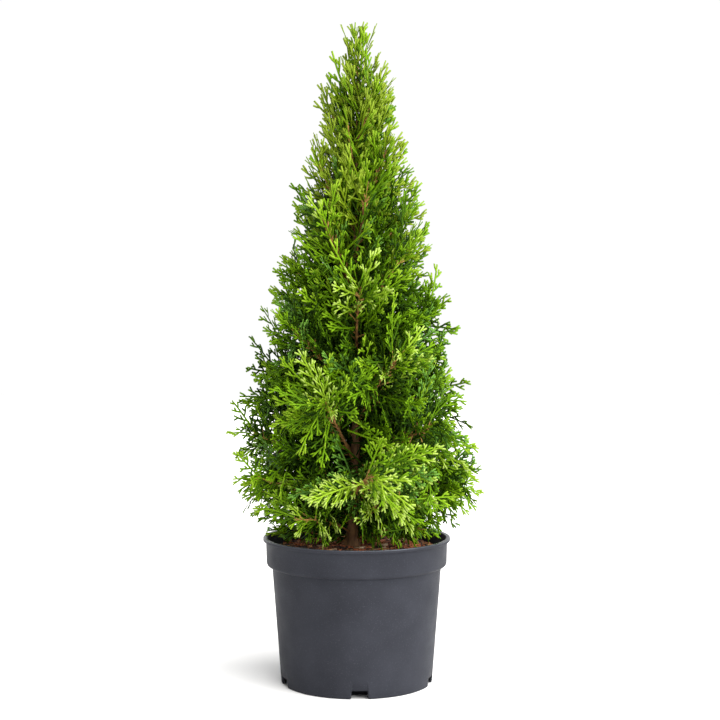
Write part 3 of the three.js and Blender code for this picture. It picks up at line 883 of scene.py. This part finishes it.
def bark_tube(points, radii, sides, relief, seed):
    """Vertices and faces of a limb whose surface has long, stringy ridges."""
    along = unit(np.gradient(points, axis=0))
    side = unit(np.cross(along, np.array([0.3, 1.0, 0.1])))
    up = np.cross(along, side)
    length = np.concatenate([[0], np.cumsum(np.linalg.norm(np.diff(points, axis=0), axis=1))])
    turns = turns_round(sides)
    places = [(RIDGES.around * math.cos(a), RIDGES.around * math.sin(a)) for a in turns]
    rings = []
    for k, point in enumerate(points):
        height = RIDGES.along * length[k] + seed
        ridges = np.array([noise.noise(Vector((x, y, height))) for x, y in places])
        radius = radii[k] * (1 + relief * ridges)
        ring = point + side[k] * (radius * np.cos(turns))[:, None] + up[k] * (radius * np.sin(turns))[:, None]
        rings.append(ring)
    quads = ring_walls(len(points), sides, closed=False)
    for base in (0, (len(points) - 1) * sides):
        for j in range(0, sides - 2, 2):
            quads.append([base, base + j + 1, base + j + 2, base + (j + 3) % sides])
    return np.concatenate(rings), np.array(quads)


def make_trunk(bark):
    heights = np.linspace(TRUNK_FOOT, TRUNK_TOP, 150)
    tube = bark_tube(trunk_point(heights), trunk_radius(heights), sides=24, relief=0.16, seed=1.0)
    dressed(quad_object("trunk_bark", *tube, [bark]), "bark", "trunk")


def make_boughs(bark):
    """Each limb's wood, from the trunk to near the limb's end."""
    vertices, quads, first = [], [], 0
    for limb in [*limbs, *shoots, leader]:
        s = np.linspace(0, BOUGH.length * limb.length, 36)
        radii = BOUGH.girth * limb.radius(s)
        v, q = bark_tube(limb.point(s), radii, sides=8, relief=0.14, seed=7.0 + limb.i)
        vertices.append(v)
        quads.append(q + first)
        first += len(v)
    piece = quad_object("bough_bark", np.concatenate(vertices), np.concatenate(quads), [bark])
    boughs = [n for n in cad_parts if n.startswith("bough")]
    dressed(piece, "bark", *boughs)


# ---- pieces: pot and compost


def body_radius(z):
    return lerp(POT.foot_radius, POT.shoulder_radius, z / BAND_FOOT)


def arc(centre, radius, start, end, count):
    """Points of a round edge, from one angle to another, in degrees."""
    angles = np.radians(np.linspace(start, end, count))
    return [(centre[0] + radius * math.cos(a), centre[1] + radius * math.sin(a)) for a in angles]


def pot_profile():
    """The pot's section in three parts: from the middle of the underside up its outside, over the lip's edge,
    and down its inside."""
    wall, floor_raise, height = POT.wall, POT.floor_raise, POT.height
    foot, shoulder, band = POT.foot_radius, POT.shoulder_radius, POT.band_radius
    band_top, lip = POT.band_top_radius, POT.lip_radius
    lip_foot = height - POT.lip_height
    floor_top = floor_raise + POT.floor
    rib = foot - POT.rib_inset
    corner, edge = POT.band_corner, POT.lip_round
    axis = 0.5  # a hole this small stays in the middle, so that no face is a sliver
    outside = [(axis, floor_raise), (rib - POT.rib, floor_raise), (rib - POT.rib, 0), (rib, 0)]
    outside += [(rib, floor_raise), (body_radius(floor_raise) - wall, floor_raise), (foot - wall, 0)]
    outside += arc((foot - edge, edge), edge, -90, 0, 3)
    outside += [(body_radius(z), z) for z in np.linspace(6, BAND_FOOT - edge, 9)]
    outside += [(shoulder + 0.1, BAND_FOOT)]
    outside += arc((band - corner, BAND_FOOT + corner), corner, -84, 0, 8)
    outside += [(band_top - 0.1, lip_foot - edge), (band_top + 0.3, lip_foot)]
    outside += arc((lip - edge, lip_foot + edge), edge, -90, 0, 4)
    rounding = arc((lip - edge, height - edge), edge, 0, 90, 7)
    inner = band_top - wall
    inside = arc((inner + edge, height - 0.3 - edge), edge, 90, 180, 5)
    inside += [(band - wall, BAND_FOOT + corner), (shoulder - wall, BAND_FOOT + wall)]
    inside += [(body_radius(floor_top) - wall, floor_top), (axis, floor_top)]
    return outside, rounding, inside


def lathe(profile, sides):
    """Vertices and faces of a closed section turned about Z."""
    turns = turns_round(sides)
    rings = [[(r * math.cos(a), r * math.sin(a), z) for a in turns] for r, z in profile]
    return np.array(rings).reshape(-1, 3), np.array(ring_walls(len(rings), sides, closed=True))


def notch_cutter(bearing):
    """A drain notch in the foot: a block that flares towards the ground, and runs on under the floor."""
    down, beyond = DRAIN.spare
    inner, outer = POT.foot_radius - DRAIN.slot_depth, POT.foot_radius + beyond
    half, low, height = DRAIN.width / 2, DRAIN.flare_height, DRAIN.height
    wide, narrow = half + DRAIN.flare, half - DRAIN.draft
    section = [(-wide, -down), (wide, -down), (half, low), (narrow, height), (-narrow, height), (-half, low)]
    points = [(x, y, z) for x in (inner, outer) for y, z in section]
    n = len(section)
    faces = [list(range(n))[::-1], list(range(n, 2 * n))]
    faces += [[k, (k + 1) % n, n + (k + 1) % n, n + k] for k in range(n)]
    mesh = bpy.data.meshes.new("cutter")
    mesh.from_pydata([Vector(p) * MM for p in points], [], faces)
    mesh.transform(Matrix.Rotation(bearing, 4, "Z"))
    return linked("cutter", mesh)


def apply_modifiers(piece):
    graph = bpy.context.evaluated_depsgraph_get()
    mesh = bpy.data.meshes.new_from_object(piece.evaluated_get(graph))
    piece.modifiers.clear()
    piece.data = mesh


def make_pot(plastic, smooth_lip_painted_highlight, inside_painted_shade):
    """The moulded shell. Its lip's edge is rubbed smooth and a little lighter, the lighter colour a painted
    highlight, and its inside is darker than its outside, a painted shade.
    """
    sides = 144
    parts = pot_profile()
    section = [point for part in parts for point in part]
    tones = np.repeat(np.repeat([0, 1, 2], [len(part) for part in parts]), sides)
    pot = quad_object("pot_shell", *lathe(section, sides), [plastic, smooth_lip_painted_highlight, inside_painted_shade], tones)
    cutters = []
    for k in range(DRAIN.count):
        cutter = notch_cutter(DRAIN.turn + 2 * math.pi * k / DRAIN.count)
        modifier = pot.modifiers.new(f"notch_{k}", "BOOLEAN")
        modifier.object = cutter
        modifier.operation = "DIFFERENCE"
        modifier.solver = "EXACT"
        cutters.append(cutter)
    bpy.context.view_layer.update()
    apply_modifiers(pot)
    for cutter in cutters:
        bpy.data.objects.remove(cutter)
    dressed(pot, "pot", "pot")


SOIL_RIM = POT.band_radius - POT.wall - GAP
CHIPS = Values(
    count=3600, largest=3.6, ragged=0.35, raised=0.35,
    clear=7.0,  # of the pot's wall
    size=(2.2, 0.48, 0.45),  # shape and scale of a gamma draw, and what is added to it
    shape=((0.8, 1.7), (0.5, 1.0), (0.2, 0.5)),  # length, width and height against the size
    tilt=0.6,  # radians
    shares=(0.34, 0.26, 0.2, 0.15, 0.05),  # red, brown, orange, dark and pale
)


def soil_height(r, a):
    """The compost's surface: the source's low cone, with lumps."""
    edge = POT.height - SOIL.depth
    share = np.clip((SOIL_RIM - r) / (SOIL_RIM - SOIL.flat_radius), 0, 1)
    fine = SOIL.lump_scale
    lump = noise.fractal(Vector((fine * r * math.cos(a), fine * r * math.sin(a), 3.0)), 0.6, 2.0, 4)
    return edge + SOIL.dome * share + SOIL.lump * lump - SOIL.settled


def make_compost(dark):
    """The compost: its crumbly surface, and its sides down to the pot's floor."""
    floor = POT.floor_raise + POT.floor + GAP
    foot = body_radius(floor) - POT.wall - GAP
    shoulder = POT.shoulder_radius - POT.wall - GAP
    below = [(1.0, floor), (foot, floor), (shoulder, BAND_FOOT + POT.wall)]
    radii = np.linspace(SOIL_RIM, 1.0, 46)
    sides = 120
    vertices, quads = lathe(below + [(r, 0.0) for r in radii], sides)
    heights = [soil_height(r, a) for r in radii for a in turns_round(sides)]
    vertices[-len(heights) :, 2] = heights
    dressed(quad_object("compost", vertices, quads, [dark]), "soil", "soil")


def make_chips(kinds):
    """Loose bits of bark on the compost: ragged little blocks that lie at any turn."""
    rng = np.random.default_rng(SEEDS.chips)
    vertices, faces, tones = [], [], []
    block = np.array([(x, y, z) for x in (-1, 1) for y in (-1, 1) for z in (-1, 1)], float)
    walls = np.array([[0, 1, 3, 2], [4, 6, 7, 5], [0, 4, 5, 1], [2, 3, 7, 6], [0, 2, 6, 4], [1, 5, 7, 3]])
    for k in range(CHIPS.count):
        r = (SOIL_RIM - CHIPS.clear) * math.sqrt(rng.uniform(0.0, 1.0))
        a = rng.uniform(0, 2 * math.pi)
        peak, scale, least = CHIPS.size
        size = min(CHIPS.largest, rng.gamma(peak, scale) + least)
        shape = np.array([rng.uniform(*ends) for ends in CHIPS.shape]) * size
        corners = block * (1 + rng.uniform(-CHIPS.ragged, CHIPS.ragged, (8, 3))) * shape
        spin = Matrix.Rotation(rng.uniform(0, 2 * math.pi), 3, "Z")
        spin = spin @ Matrix.Rotation(swing(rng, CHIPS.tilt), 3, "X")
        corners = corners @ np.array(spin).T
        centre = np.array([r * math.cos(a), r * math.sin(a), soil_height(r, a) + CHIPS.raised * size])
        vertices.append(corners + centre)
        faces.append(walls + 8 * k)
        tones += [rng.choice(len(kinds), p=CHIPS.shares)] * 6
    arrays = np.concatenate(vertices), np.concatenate(faces)
    dressed(quad_object("bark_chips", *arrays, kinds, tones, smooth=False), "soil")


# ---- floor, lights and camera

# In metres, but for the lens.
CAMERA = Values(distance=1.4, height=0.357, aside=0.0034, pitch=math.radians(1.26), lens=68.96)

# The surround is WHITE but for a dim part, high up, in front and on the left. A pair says where the dimming
# starts and where it is full: spread for a way that turns to that side, and above for one that turns up.
DIM_SIDE = Values(towards=(-0.83, -0.55, 0.0), spread=(0.0, 0.7), above=(0.25, 0.45), strength=0.07)
WHITE = 1.01


def make_stage():
    mesh = bpy.data.meshes.new("floor")
    half = 6.0  # metres
    corners = [(-half, -half, 0), (half, -half, 0), (half, half, 0), (-half, half, 0)]
    mesh.from_pydata(corners, [], [(0, 1, 2, 3)])
    material, _ = plain_material("floor_paper", (0.93, 0.93, 0.93), 0.8)
    mesh.materials.append(material)
    linked("floor", mesh)


def make_world():
    """White all round at eye level, and dim high up on the left, so that the key light shapes the plant."""
    world = bpy.data.worlds.new("studio")
    world.use_nodes = True
    tree = world.node_tree
    place = tree.nodes.new("ShaderNodeTexCoord")
    side = tree.nodes.new("ShaderNodeVectorMath")
    side.operation = "DOT_PRODUCT"
    side.inputs[1].default_value = DIM_SIDE.towards
    parts = tree.nodes.new("ShaderNodeSeparateXYZ")
    tree.links.new(place.outputs["Generated"], side.inputs[0])
    tree.links.new(place.outputs["Generated"], parts.inputs["Vector"])
    both = tree.nodes.new("ShaderNodeMath")
    both.operation = "MULTIPLY"
    tree.links.new(ranged(tree, side.outputs["Value"], DIM_SIDE.spread, (0, 1)), both.inputs[0])
    tree.links.new(ranged(tree, parts.outputs["Z"], DIM_SIDE.above, (0, 1)), both.inputs[1])
    strength = ranged(tree, both.outputs["Value"], (0, 1), (WHITE, DIM_SIDE.strength), smooth=False)
    background = tree.nodes["Background"]
    background.inputs["Color"].default_value = (1, 1, 1, 1)
    tree.links.new(strength, background.inputs["Strength"])
    bpy.context.scene.world = world


def make_light(name, energy, spread, colour, direction):
    """A distant soft light that shines along a direction."""
    light = bpy.data.lights.new(name, "SUN")
    light.energy = energy
    light.angle = math.radians(spread)
    light.color = colour
    linked(name, light).rotation_euler = Vector(direction).to_track_quat("-Z", "Y").to_euler()


def set_view():
    """Shows colours as they are, with the paper floor near white."""
    view = bpy.context.scene.view_settings
    view.view_transform = "Standard"
    view.look = "None"


def make_camera():
    data = bpy.data.cameras.new("camera")
    data.sensor_width = 36
    data.lens = CAMERA.lens
    camera = linked("camera", data)
    camera.location = (CAMERA.aside, -CAMERA.distance, CAMERA.height)
    camera.rotation_euler = (math.pi / 2 - CAMERA.pitch, 0, 0)
    bpy.context.scene.camera = camera


# ---- the whole scene

set_view()
make_camera()
make_world()
make_light("key", energy=4.9, spread=75, colour=(1.0, 0.985, 0.96), direction=(-0.85, 0.75, -1.45))
make_light("side", energy=2.95, spread=40, colour=(0.96, 0.98, 1.0), direction=(-1.0, 0.7, -0.12))
make_stage()
make_pot(
    pot_material("pot_plastic", (0.0213, 0.0221, 0.0275), (0.0285, 0.0297, 0.037), 0.07),
    # The lip's rounded edge: glossier, and lighter than the plastic, which is a painted highlight.
    pot_material("pot_lip_painted_highlight", (0.026, 0.027, 0.034), (0.034, 0.036, 0.045), 0.4, (0.24, 0.32)),
    # The near-black inside is painted shade.
    pot_material("pot_inside_painted_shade", (0.004, 0.004, 0.005), (0.008, 0.008, 0.009), 0.1),
)
make_compost(compost_material("compost_dark", (0.018, 0.008, 0.004), (0.08, 0.032, 0.015)))
make_chips([
    compost_material("chip_red", (0.28, 0.07, 0.026), (0.58, 0.19, 0.07)),
    compost_material("chip_brown", (0.06, 0.021, 0.01), (0.2, 0.075, 0.032)),
    compost_material("chip_orange", (0.38, 0.15, 0.055), (0.75, 0.38, 0.17)),
    compost_material("chip_dark", (0.015, 0.008, 0.006), (0.06, 0.03, 0.02)),
    compost_material("chip_pale", (0.5, 0.34, 0.2), (0.8, 0.6, 0.4)),
])
make_trunk(bark_material("trunk_bark", (0.075, 0.032, 0.012), (0.34, 0.175, 0.07)))
make_boughs(bark_material("bough_bark", (0.1, 0.038, 0.008), (0.42, 0.2, 0.05)))
make_sprays(bark_material("twig_bark", (0.16, 0.085, 0.012), (0.34, 0.2, 0.035)))
